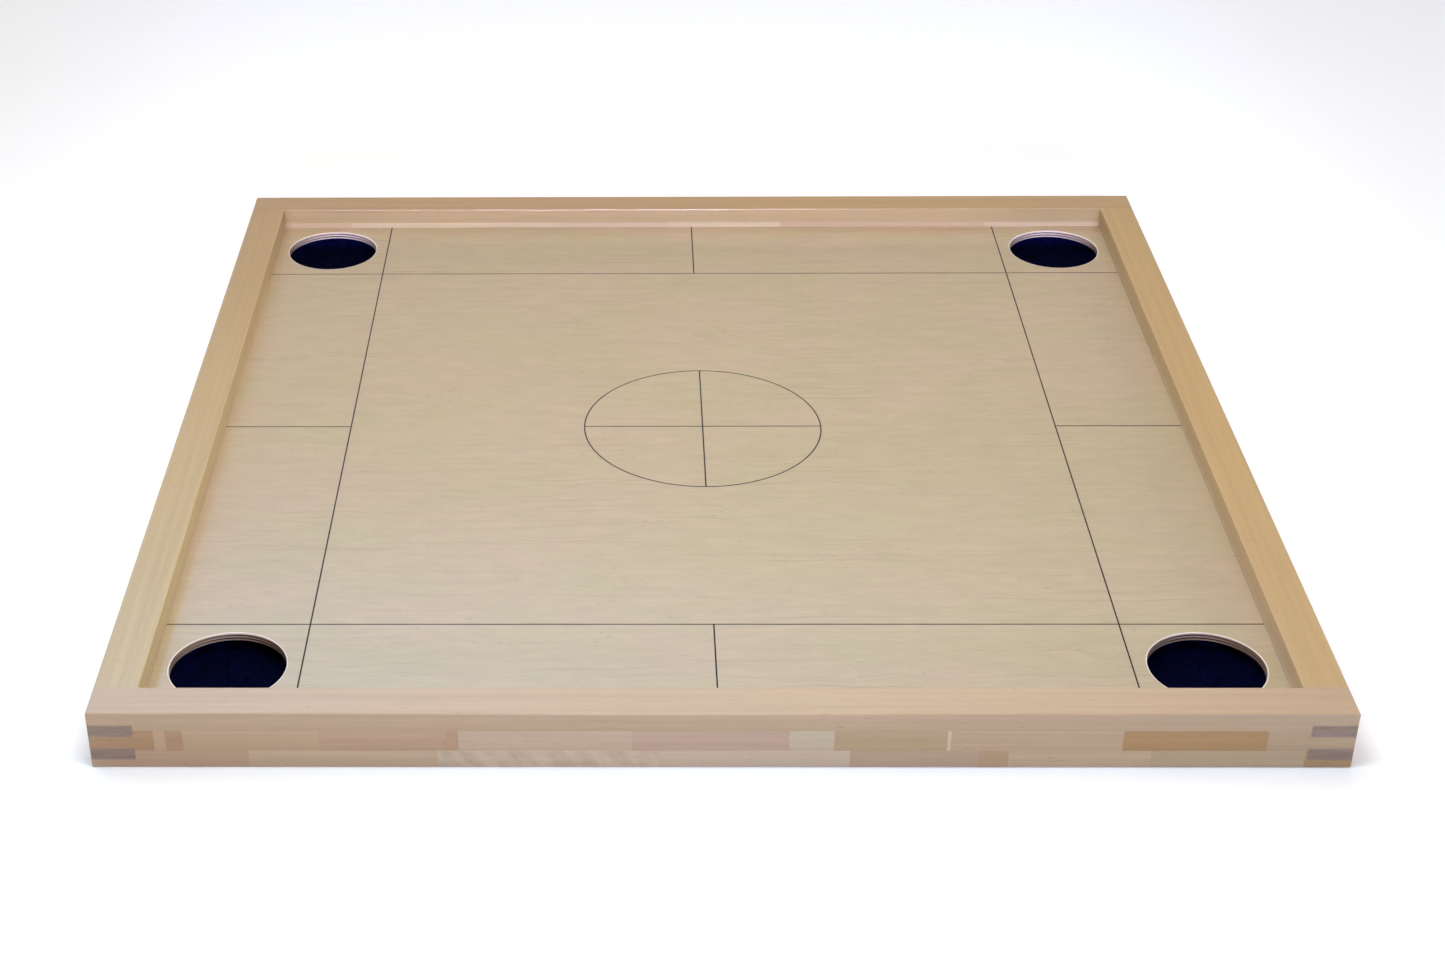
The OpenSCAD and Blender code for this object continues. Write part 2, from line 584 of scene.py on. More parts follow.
@dataclass(frozen=True, kw_only=True)
class BirchEndGrain(Finish):
    """Sawn and sanded birch end grain under lacquer: it drinks the lacquer and turns grey-brown.

    Growth rings cross each strip as slow arcs a few millimetres apart. Each size below is a feature's
    length, width and height in the rail, as for the long grain.
    """

    name: str = "birch_end_grain_lacquered"
    lacquer: Lacquer = Lacquer(weight=0.35, roughness=0.3)
    ring_mm: Vector3 = (400, 26, 3.2)
    pore_mm: Vector3 = (4, 0.7, 0.7)

    def paint(self, tree: Any) -> Sockets:
        """Greys the mesh's own tone and lays rings and pores over it.

        Args:
            tree: The material's node tree.

        Returns:
            The shader's inputs.
        """
        grain = add_node(tree, "Attribute", output="Vector", attribute_name="grain")
        tone = add_node(tree, "Attribute", output="Color", attribute_name="tone")
        grey = add_node(tree, "Mix", {0: 0.7, MIX_A: tone, MIX_B: srgb("826a60")}, **COLOUR_MIX)
        rings = sized_noise(tree, grain, self.ring_mm, 3.0, Distortion=0.3)
        pores = sized_noise(tree, grain, self.pore_mm, 2.0)
        ringed = shaded(tree, grey, rings, (0.35, 0.65), (0.86, 1.1))
        colour = shaded(tree, ringed, pores, (0.3, 0.7), (0.94, 1.05))
        return {"Base Color": colour, "Roughness": 0.5, **self.lacquer.sockets()}


@dataclass(frozen=True, kw_only=True)
class BirchVeneer(Finish):
    """Rotary-cut birch face veneer of the plywood, sanded and satin-lacquered.

    The peeling knife follows the rings, so the figure is broad, faint and wavy under short fine
    fibres, with small red-brown flecks strung in groups and a few thin streaks. The whole pattern is
    bent a little across the grain, as real grain wanders. Each size below is a feature's length along
    the grain, its width and its height.
    """

    name: str = "birch_rotary_veneer_satin_lacquer"
    lacquer: Lacquer = Lacquer(weight=1.0, roughness=0.14)
    bend_mm: Vector3 = (70, 40, 40)
    bend_reach_mm: float = 16.0
    cloud_mm: Vector3 = (150, 70, 70)
    mottle_mm: Vector3 = (34, 12, 12)
    figure_mm: Vector3 = (330, 52, 52)
    figure_turns: float = 75.0
    fibre_mm: Vector3 = (16, 1.2, 1.2)
    hair_mm: Vector3 = (90, 1.6, 1.6)
    fleck_mm: Vector3 = (11, 1.3, 1.3)
    group_mm: Vector3 = (80, 45, 45)
    streak_mm: Vector3 = (240, 1.4, 1.4)

    def paint(self, tree: Any) -> Sockets:
        """Lays clouds, figure, fibres, flecks and streaks on object coordinates, with the grain along X.

        The figure is the sine of a broad noise times `figure_turns`, which gives lines that follow its
        contours. A fleck shows where its own noise and that of its group are high together.

        Args:
            tree: The material's node tree.

        Returns:
            The shader's inputs.
        """
        straight = add_node(tree, "TexCoord", output="Object")
        bend = sized_noise(tree, straight, self.bend_mm, 1.0)
        across = add_node(tree, "CombineXYZ", {"Y": bend})
        reach = self.bend_reach_mm * MM
        shift = add_node(tree, "VectorMath", {0: across, "Scale": reach}, operation="SCALE")
        here = add_node(tree, "VectorMath", {0: straight, 1: shift}, operation="ADD")
        cloud, mottle, figure, fibre, hair, fleck, group, streak = (
            sized_noise(tree, here, size, detail, Roughness=0.55)
            for size, detail in (
                (self.cloud_mm, 3.0), (self.mottle_mm, 3.0), (self.figure_mm, 2.0), (self.fibre_mm, 2.0),
                (self.hair_mm, 2.0), (self.fleck_mm, 1.0), (self.group_mm, 1.0), (self.streak_mm, 0.0),
            )
        )
        colour = stained(tree, srgb("b99e7b"), cloud, (0.38, 0.62), 1.0, "b59f77")
        turned = add_node(tree, "Math", {0: figure, 1: self.figure_turns}, operation="MULTIPLY")
        waves = add_node(tree, "Math", {0: turned}, operation="SINE")
        for value, span, shades in (
            (waves, (-1.0, 1.0), (0.985, 1.01)),
            (mottle, (0.36, 0.64), (0.975, 1.02)),
            (fibre, (0.35, 0.65), (0.965, 1.025)),
            (hair, (0.35, 0.65), (0.985, 1.01)),
        ):
            colour = shaded(tree, colour, value, span, shades)
        grouped = add_node(tree, "MapRange", ramp(group, (0.5, 0.62), (0.0, 0.08)))
        raised = add_node(tree, "Math", {0: fleck, 1: grouped}, operation="ADD")
        colour = stained(tree, colour, raised, (0.765, 0.82), 0.62, "85563d")
        return {
            "Base Color": stained(tree, colour, streak, (0.72, 0.76), 0.3, "8f7052"),
            "Roughness": add_node(tree, "MapRange", ramp(fibre, (0.2, 0.8), (0.42, 0.54))),
            "Normal": add_node(tree, "Bump", {"Height": hair, "Strength": 0.08, "Distance": 0.0002}),
            **self.lacquer.sockets(),
        }


@dataclass(frozen=True, kw_only=True)
class RimPaintedHighlight(Finish):
    """The rounded rim of a hole, coloured pale: a painted highlight, the bright line of light round the
    hole.
    """

    name: str = "birch_rim_painted_highlight"
    lacquer: Lacquer = Lacquer(weight=1.0, roughness=0.25)
    fibre_mm: Vector3 = (14, 1.2, 1.2)

    def paint(self, tree: Any) -> Sockets:
        """Lays short fibres along X on object coordinates.

        Args:
            tree: The material's node tree.

        Returns:
            The shader's inputs.
        """
        here = add_node(tree, "TexCoord", output="Object")
        fibre = sized_noise(tree, here, self.fibre_mm, 2.0)
        # Pale tones: a painted highlight along the rim.
        tones = {0: fibre, MIX_A: srgb("decab4"), MIX_B: srgb("ecdcc8")}
        colour = add_node(tree, "Mix", tones, **COLOUR_MIX)
        return {"Base Color": colour, "Roughness": 0.45, **self.lacquer.sockets()}


@dataclass(frozen=True, kw_only=True)
class PlyEdge(Finish):
    """The sanded edge of five-ply birch plywood.

    Neighbouring plies lie crosswise. Where a ply's grain runs along the edge it shows pale, and where
    it runs into the edge it shows its darker ends, so round a hole the two swap every quarter turn.
    Thin dark glue lines part them.

    Attributes:
        lacquer: The little that stays on the thirsty edge.
        bottom_mm: Height of the lowest ply's underside.
        long_mm: Thickness of each of the three plies that lie along the board.
        cross_mm: Thickness of each of the two between them.
        glue_mm: Thickness of a glue line with the dark wood beside it.
        fibre_mm: Length, width and height of a fibre on the edge.
    """

    name: str = "birch_ply_edge_lacquered"
    lacquer: Lacquer = Lacquer(weight=0.3, roughness=0.3)
    bottom_mm: float
    long_mm: float = 1.93
    cross_mm: float = 1.1
    glue_mm: float = 0.3
    fibre_mm: Vector3 = (5, 5, 0.5)

    def paint(self, tree: Any) -> Sockets:
        """Lays the plies by the height in the panel and by the direction the edge faces.

        The height is counted in pairs of plies. In each pair the part below the long ply's share is
        long, and the rest crosswise. The share of end grain is the square of the edge normal's X in a
        long ply, and one less that square in a crosswise one.

        Args:
            tree: The material's node tree.

        Returns:
            The shader's inputs.
        """
        here = add_node(tree, "TexCoord", output="Object")
        height = add_node(tree, "SeparateXYZ", {0: here}, output="Z")
        facing = add_node(tree, "TexCoord", output="Normal")
        side = add_node(tree, "SeparateXYZ", {0: facing}, output="X")
        end_of_long = add_node(tree, "Math", {0: side, 1: side}, operation="MULTIPLY")
        end_of_cross = add_node(tree, "Math", {0: 1.0, 1: end_of_long}, operation="SUBTRACT")
        pair = self.long_mm + self.cross_mm
        above = add_node(tree, "Math", {0: height, 1: self.bottom_mm * MM}, operation="SUBTRACT")
        pairs = add_node(tree, "Math", {0: above, 1: 1 / (pair * MM)}, operation="MULTIPLY")
        part = add_node(tree, "Math", {0: pairs}, operation="FRACT")
        from_joint = add_node(tree, "Math", {0: part, 1: self.long_mm / pair}, operation="SUBTRACT")
        crosswise = add_node(tree, "Math", {0: from_joint, 1: 0.0}, operation="GREATER_THAN")
        ends = add_node(tree, "Mix", {0: crosswise, 2: end_of_long, 3: end_of_cross}, data_type="FLOAT")
        colour = add_node(tree, "Mix", {0: ends, MIX_A: srgb("e2bca0"), MIX_B: srgb("5c3a2c")}, **COLOUR_MIX)
        fibre = sized_noise(tree, here, self.fibre_mm, 2.0)
        colour = shaded(tree, colour, fibre, (0.3, 0.7), (0.86, 1.1))
        upper = add_node(tree, "Math", {0: from_joint}, operation="ABSOLUTE")
        lower = add_node(tree, "Math", {0: pairs, 1: 0.5}, operation="PINGPONG")
        nearest = add_node(tree, "Math", {0: upper, 1: lower}, operation="MINIMUM")
        glue = self.glue_mm / pair
        colour = stained(tree, colour, nearest, (glue, glue / 2), 0.85, "2e1c18")
        return {"Base Color": colour, "Roughness": 0.5, **self.lacquer.sockets()}


@dataclass(frozen=True, kw_only=True)
class InkLine(Finish):
    """Dark brown ink drawn on the veneer and lacquered over: nearly black, with thinner spots."""

    name: str = "brown_black_ink_lacquered"
    lacquer: Lacquer = Lacquer(weight=0.1, roughness=0.4)
    spot_mm: Vector3 = (9, 9, 9)

    def paint(self, tree: Any) -> Sockets:
        """Lets brown through where the ink is thin, on object coordinates.

        Args:
            tree: The material's node tree.

        Returns:
            The shader's inputs.
        """
        here = add_node(tree, "TexCoord", output="Object")
        thin = sized_noise(tree, here, self.spot_mm, 4.0)
        colour = stained(tree, srgb("120d0b"), thin, (0.45, 0.75), 0.3, "33261f")
        return {"Base Color": colour, "Roughness": 0.45, **self.lacquer.sockets()}


@dataclass(frozen=True, kw_only=True)
class PouchCloth(Finish):
    """Dark navy cotton twill, quite matte, darkened to nearly black as painted shade of a deep pocket, so
    little more than its folds shows.

    Its ribs, about 0.6 mm apart, are too fine to show. A slow diagonal ripple of the gathered cloth
    and faint worn patches are drawn in their place.

    Attributes:
        ripple_mm: Distance between two ripples.
        patch_mm: Size of a worn patch.
    """

    name: str = "navy_twill_painted_pocket_shade"
    ripple_mm: float = 11.55
    patch_mm: Vector3 = (24, 24, 24)

    def paint(self, tree: Any) -> Sockets:
        """Lays ripples and patches on the cloth's own unrolled coordinates.

        Diagonal bands of scale s repeat every 2 pi / (10 sqrt(2) s).

        Args:
            tree: The material's node tree.

        Returns:
            The shader's inputs.
        """
        cut = add_node(tree, "UVMap", uv_map="cut")
        scale = 2 * math.pi / (10 * math.sqrt(2) * self.ripple_mm * MM)
        waves = {"Vector": cut, "Scale": scale, "Distortion": 0.4, "Detail": 1.0}
        ripple = add_node(tree, "TexWave", waves, "Fac", wave_type="BANDS", bands_direction="DIAGONAL")
        wear = sized_noise(tree, cut, self.patch_mm, 5.0)
        # Both colours are far darker than navy cloth: the cloth's own navy with painted shade of the deep
        # pocket in it. The worn patches mix the two.
        colour = add_node(tree, "Mix", {0: wear, MIX_A: srgb("010310"), MIX_B: srgb("040729")}, **COLOUR_MIX)
        return {
            "Base Color": shaded(tree, colour, ripple, (0.0, 1.0), (0.8, 1.15)),
            "Roughness": 0.95,
            "Specular IOR Level": 0.02,
            "Normal": add_node(tree, "Bump", {"Height": ripple, "Strength": 0.35, "Distance": 0.0003}),
        }


@dataclass(frozen=True, kw_only=True)
class Webbing(Finish):
    """Black polyester tape, woven, with slow ripples along it from following the round of a hem.

    Attributes:
        ripple_mm: Distance between two ripples.
    """

    name: str = "black_polyester_tape_woven"
    ripple_mm: float = 10.05

    def paint(self, tree: Any) -> Sockets:
        """Lays ripples on the tape's own length and width.

        Bands along X of scale s repeat every 2 pi / (20 s).

        Args:
            tree: The material's node tree.

        Returns:
            The shader's inputs.
        """
        cut = add_node(tree, "UVMap", uv_map="cut")
        waves = {"Vector": cut, "Scale": 2 * math.pi / (20 * self.ripple_mm * MM), "Distortion": 0.2}
        ripple = add_node(tree, "TexWave", waves, "Fac", wave_type="BANDS", bands_direction="X")
        return {
            "Base Color": shaded(tree, srgb("15151b")[:3], ripple, (0.0, 1.0), (0.7, 1.2)),
            "Roughness": 0.7,
            "Sheen Weight": 0.2,
            "Normal": add_node(tree, "Bump", {"Height": ripple, "Strength": 0.5, "Distance": 0.0004}),
        }


@dataclass(frozen=True, kw_only=True)
class PlatedSteel(Finish):
    """Drawn or pressed steel fixings, plated: a soft metal gloss with duller spots.

    Attributes:
        colour: The plating's colour as sRGB hex.
        gloss_roughness: Roughness where it is not dull.
        spot_mm: Size of a spot.
    """

    colour: str
    gloss_roughness: float
    spot_mm: Vector3 = (1.5, 1.5, 1.5)

    def paint(self, tree: Any) -> Sockets:
        """Lays spots on object coordinates.

        Args:
            tree: The material's node tree.

        Returns:
            The shader's inputs.
        """
        here = add_node(tree, "TexCoord", output="Object")
        spots = sized_noise(tree, here, self.spot_mm, 4.0)
        dull = self.gloss_roughness + 0.12
        return {
            "Base Color": shaded(tree, srgb(self.colour)[:3], spots, (0.3, 0.7), (0.85, 1.05)),
            "Roughness": add_node(tree, "MapRange", ramp(spots, (0.3, 0.7), (dull, self.gloss_roughness))),
            "Metallic": 1.0,
        }


@dataclass(frozen=True, kw_only=True)
class Softwood(Finish):
    """Planed pine, left bare: straight amber late-wood lines in pale wood, matte.

    Attributes:
        along_x: Whether the grain runs along X rather than along Y.
        ring_mm: Length, width and height of a late-wood line.
        fibre_mm: Length, width and height of a fibre.
    """

    along_x: bool
    ring_mm: Vector3 = (900, 5.5, 5.5)
    fibre_mm: Vector3 = (60, 0.9, 0.9)

    def paint(self, tree: Any) -> Sockets:
        """Lays late-wood lines and fibres on object coordinates.

        Args:
            tree: The material's node tree.

        Returns:
            The shader's inputs.
        """
        here = add_node(tree, "TexCoord", output="Object")
        ring, fibre = (
            size if self.along_x else (size[1], size[0], size[2]) for size in (self.ring_mm, self.fibre_mm)
        )
        rings = sized_noise(tree, here, ring, 1.0, Distortion=0.4)
        fibres = sized_noise(tree, here, fibre, 3.0)
        colour = stained(tree, srgb("dcc08e"), rings, (0.42, 0.62), 1.0, "b98a50")
        return {
            "Base Color": shaded(tree, colour, fibres, (0.3, 0.7), (0.92, 1.05)),
            "Roughness": 0.68,
            "Normal": add_node(tree, "Bump", {"Height": fibres, "Strength": 0.25, "Distance": 0.0003}),
        }


@dataclass(frozen=True, kw_only=True)
class FloorPaper(Finish):
    """Matte white paper, which glows a little, as a lit table does.

    Attributes:
        glow: How much it glows.
    """

    name: str = "white_paper_matte"
    glow: float

    def paint(self, tree: Any) -> Sockets:
        """Lays a barely visible change of tone on object coordinates.

        Args:
            tree: The material's node tree.

        Returns:
            The shader's inputs.
        """
        here = add_node(tree, "TexCoord", output="Object")
        tone = add_node(tree, "TexNoise", {"Vector": here, "Scale": 3.0, "Detail": 2.0})
        tones = {0: tone, MIX_A: srgb("f6f5f5"), MIX_B: srgb("f8f7f7")}
        return {
            "Base Color": add_node(tree, "Mix", tones, **COLOUR_MIX),
            "Roughness": 1.0,
            "Specular IOR Level": 0.0,
            "Emission Color": srgb("ffffff"),
            "Emission Strength": self.glow,
        }


# ---------------------------------------------------------------- rails


class RailKind(Enum):
    """Which fingers a rail holds at the corner joints, counted from the top."""

    LONG = (0, 2, 4)
    SHORT = (1, 3)


@dataclass(frozen=True)
class Block:
    """One length of a glued strip.

    Attributes:
        end: Distance of its far end from the rail's left end, in millimetres.
        tone: Its colour as sRGB hex.
        curl: How strong its curly figure is, from 0 to 1.
        far_tone: Its colour at its far end, if that differs.
    """

    end: float
    tone: str
    curl: float = 0.0
    far_tone: str = ""


Strips = Sequence[Sequence[Block]]

# The front rail's strips from the top down, each as the blocks it was glued up from, left to right. The
# paler, greyer tones of the blocks between about 300 and 650 mm are partly the wood's own and partly a
# painted sheen, the reflection across the middle of the front face.
FRONT_STRIPS = (
    (Block(1100, "bea283"),),
    (
        Block(56, "b28d66"), Block(66, "c2a486"), Block(81, "b6926e"), Block(197, "c2a486"),
        Block(306, "c0a084"), Block(316, "be9b7e"), Block(464, "cab09a"), Block(598, "c4a694"),
        Block(636, "c8b8a2"), Block(732, "bca280"), Block(735, "d4c0a4"), Block(881, "c4a88a"),
        Block(1003, "b38c5c"), Block(1100, "bca383"),
    ),
    (
        Block(136, "c2a48a"), Block(298, "c9af98"), Block(487, "ceb9a6", 0.8), Block(650, "cfbcaa"),
        Block(760, "c0a690"), Block(785, "c0a080"), Block(906, "c8b094"), Block(1037, "c0aa8c"),
        Block(1100, "b59468"),
    ),
)
BLOCK_TONES = ("c8aa84", "c2a280", "bc9874", "ccb092", "ba9c7a", "c4a688")


@dataclass(frozen=True)
class RailPlan:
    """How one rail is glued up and where it goes.

    Attributes:
        node: Its CAD node.
        kind: Its fingers.
        strips: Its blocks.
        quarter_turns: Quarter turns from the front side, anticlockwise from above.
        seed: Draws where in its board each block was cut.
    """

    node: str
    kind: RailKind
    strips: Strips
    quarter_turns: int
    seed: int


@dataclass
class Rails:
    """The four glued-laminated rails and their finger joints.

    Attributes:
        board: The shared sizes.
        ease: Radius of the eased outer arrises.
        inner_ease: Radius of the eased arris above the field.
        finger_h: Height of a finger.
        strip_drops: Depths below the top at which one strip meets the next.
        block_mm: Shortest and longest block of the strips that are laid out at random.
        curly_share: Share of those blocks that have curl.
        curl: How strong that curl is.
        shift_m: How far from a board's middle a block may be cut, in metres.
    """

    board: Board
    ease: float = 1.6
    inner_ease: float = 1.3
    finger_h: float = 12.0
    strip_drops: Pair = (17.6, 38.3)
    block_mm: Pair = (110, 330)
    curly_share: float = 0.2
    curl: float = 0.7
    shift_m: float = 3.0

    def random_strips(self, seed: int, top: tuple[str, str]) -> Strips:
        """Lays out three strips: one long board on top, and two of blocks.

        The blocks' lengths and tones, and now and then some curl, are drawn from the seed. The first
        block is cut shorter by up to 90 mm. None ends in the last 40 mm of the rail, past which the
        last one runs on by 20 mm.

        Args:
            seed: The seed of the draws.
            top: The long board's tones at its left and right end.

        Returns:
            The strips from the top down.
        """
        rng = np.random.default_rng(seed)
        length = 2 * self.board.outer
        strips = [(Block(length, top[0], far_tone=top[1]),)]
        for _ in range(2):
            ends = np.cumsum(rng.uniform(*self.block_mm, size=12)) + rng.uniform(-90, 0)
            ends = np.append(ends[ends < length - 40], length + 20)
            picked = rng.integers(0, len(BLOCK_TONES), len(ends))
            curls = np.where(rng.random(len(ends)) > 1 - self.curly_share, self.curl, 0.0)
            drawn = zip(ends.tolist(), picked.tolist(), curls.tolist())
            strips.append(tuple(Block(end, BLOCK_TONES[number], curl) for end, number, curl in drawn))
        return tuple(strips)

    def cells(self, kind: RailKind, strips: Strips) -> Cells:
        """Lays the grid and fills the cells of one rail, along X on the front side.

        A cell is solid between the side rails, and beyond them only at the rail's own finger levels.
        The panel's tongue is cut out of it.

        Args:
            kind: The rail's fingers.
            strips: Its blocks, which have a grid line at each glue joint, except within 3 mm of its ends.

        Returns:
            The rail as filled cells.
        """
        b = self.board
        outer_steps, inner_steps = edge_steps(self.ease), edge_steps(self.inner_ease)
        block_ends = np.array([block.end for strip in strips for block in strip]) - b.outer
        block_ends = block_ends[np.abs(block_ends) < b.outer - 3]
        right = np.concatenate([b.outer - outer_steps, b.half - inner_steps, [b.panel_half, b.half]])
        xs = np.concatenate([right, -right, block_ends, [0.0]])
        ys = np.concatenate([-b.outer + outer_steps, -b.half - inner_steps, [-b.panel_half]])
        finger_levels = b.rail_h - self.finger_h * np.arange(1, 5)
        strip_levels = b.rail_h - np.array(self.strip_drops)
        arrises = [outer_steps, b.rail_h - outer_steps, b.rail_h - inner_steps]
        zs = np.concatenate([*arrises, finger_levels, strip_levels, [b.panel_top, b.panel_under]])
        lines = tuple(np.unique(np.round(line, 4)) for line in (xs, ys, zs))
        cells = Cells(lines, np.zeros(0))
        x, y, z = cells.centres()
        level = np.minimum((b.rail_h - z) // self.finger_h, 4)
        own = np.isin(level, kind.value)
        tongue = (np.abs(x) < b.panel_half) & (y > -b.panel_half) & (z < b.panel_top) & (z > b.panel_under)
        cells.filled = ((np.abs(x) < b.half) | own) & ~tongue
        return cells

    def eased(self, points: np.ndarray) -> np.ndarray:
        """Rounds the board's outer arrises and the rail's arris above the field.

        Each point is split into the nearest point of a box that is smaller by the radius all round and
        what is left over. The left-over part is shortened so that its largest component becomes its
        length, which turns square layers into round ones and leaves flat faces where they are. The
        inner arris is rounded the same way in its own section, less and less near the corners.

        Args:
            points: Vertex places, one to a row.

        Returns:
            The moved places.
        """
        b = self.board
        middle = np.array([0, 0, b.rail_h / 2])
        reach = np.array([b.outer, b.outer, b.rail_h / 2]) - self.ease
        rest = points - middle
        core = np.clip(rest, -reach, reach)
        over = rest - core
        length = np.linalg.norm(over, axis=1)
        factor = np.where(length > 0, np.abs(over).max(axis=1) / np.maximum(length, 1e-9), 1)
        moved = middle + core + over * factor[:, None]
        room = np.clip((b.half - np.abs(points[:, 0])) / self.inner_ease, 0, 1)
        corner = np.array([-b.half - self.inner_ease, b.rail_h - self.inner_ease])
        over = np.maximum(moved[:, 1:] - corner, 0)
        length = np.linalg.norm(over, axis=1)
        near = over.max(axis=1)
        pull = np.where(length > 0, near / np.maximum(length, 1e-9) - 1, 0) * room
        moved[:, 1:] += over * pull[:, None]
        return moved

    def corner_values(
        self, plan: RailPlan, cells: Cells, owner: np.ndarray, along: np.ndarray
    ) -> tuple[np.ndarray, np.ndarray, np.ndarray]:
        """Looks up the block behind each face.

        A block's tone goes over evenly into its far tone along the block.

        Args:
            plan: The rail's plan.
            cells: The rail's cells.
            owner: The cell behind each face.
            along: Each face's corners' distances from the rail's left end, in millimetres.

        Returns:
            The tone at each face's four corners, its curl, and its block's place in its board in metres.
        """
        x = cells.middles(0)[owner[:, 0]] + self.board.outer
        drop = self.board.rail_h - cells.middles(2)[owner[:, 2]]
        strip = np.searchsorted(np.array(self.strip_drops), drop)
        rng = np.random.default_rng(plan.seed)
        tone, curl, shift = np.zeros((len(x), 4, 4)), np.zeros(len(x)), np.zeros((len(x), 3))
        for number, blocks in enumerate(plan.strips):
            ends = np.array([block.end for block in blocks])
            starts = np.append(0, ends[:-1])
            near = np.array([srgb(block.tone) for block in blocks])
            far = np.array([srgb(block.far_tone or block.tone) for block in blocks])
            curls = np.array([block.curl for block in blocks])
            shifts = rng.uniform(-self.shift_m, self.shift_m, (len(blocks), 3))
            here = strip == number
            block = np.searchsorted(ends, x[here]).clip(0, len(blocks) - 1)
            share = (along[here] - starts[block, None]) / (ends - starts)[block, None]
            tone[here] = near[block, None] + (far - near)[block, None] * share[..., None]
            curl[here], shift[here] = curls[block], shifts[block]
        return tone, curl, shift

    def write_values(self, mesh: Any, places: np.ndarray, tone: np.ndarray, curl: np.ndarray) -> None:
        """Stores what the wood finishes read on the mesh's corners.

        Args:
            mesh: The rail's mesh.
            places: Each corner's place in its board, in metres.
            tone: Each corner's tone.
            curl: Each corner's curl.
        """
        for name, kind, key, values in (
            ("tone", "FLOAT_COLOR", "color", tone),
            ("curl", "FLOAT", "value", curl),
            ("grain", "FLOAT_VECTOR", "vector", places),
        ):
            attribute = mesh.attributes.new(name, kind, "CORNER")
            attribute.data.foreach_set(key, values.ravel())

    def build_rail(self, plan: RailPlan, materials: Sequence[Any]) -> None:
        """Makes one rail and hangs it on the frame.

        Args:
            plan: The rail's plan.
            materials: Long grain and end grain.
        """
        cells = self.cells(plan.kind, plan.strips)
        surface, owner, side = cells.skin()
        local = surface.points
        spin = np.round(turn_about_z(plan.quarter_turns * math.pi / 2))
        surface.points = self.eased(local) @ spin.T
        beyond = np.abs(cells.middles(0)[owner[:, 0]]) > self.board.half
        surface.material = ((np.abs(side) == 1) & beyond).astype(int)
        piece = surface.to_object(plan.node + "_lamellae", materials)
        corners = local[surface.quads]
        tone, curl, shift = self.corner_values(plan, cells, owner, corners[..., 0] + self.board.outer)
        self.write_values(piece.data, corners * MM + shift[:, None], tone, np.repeat(curl, 4))
        place_piece(piece, "rail_birch", plan.node)

    def build(self) -> None:
        """Makes the four rails."""
        right = self.random_strips(11, ("bf9e6d", "b6965f"))
        back = self.random_strips(23, ("b39163", "b08d60"))
        left = self.random_strips(37, ("b08e5c", "bfa87a"))
        materials = (BirchLamella().build(), BirchEndGrain().build())
        for plan in (
            RailPlan("front_rail", RailKind.LONG, FRONT_STRIPS, 0, 5),
            RailPlan("right_rail", RailKind.SHORT, right, 1, 6),
            RailPlan("back_rail", RailKind.LONG, back, 2, 7),
            RailPlan("left_rail", RailKind.SHORT, left, 3, 8),
        ):
            self.build_rail(plan, materials)


# ---------------------------------------------------------------- panel and lines


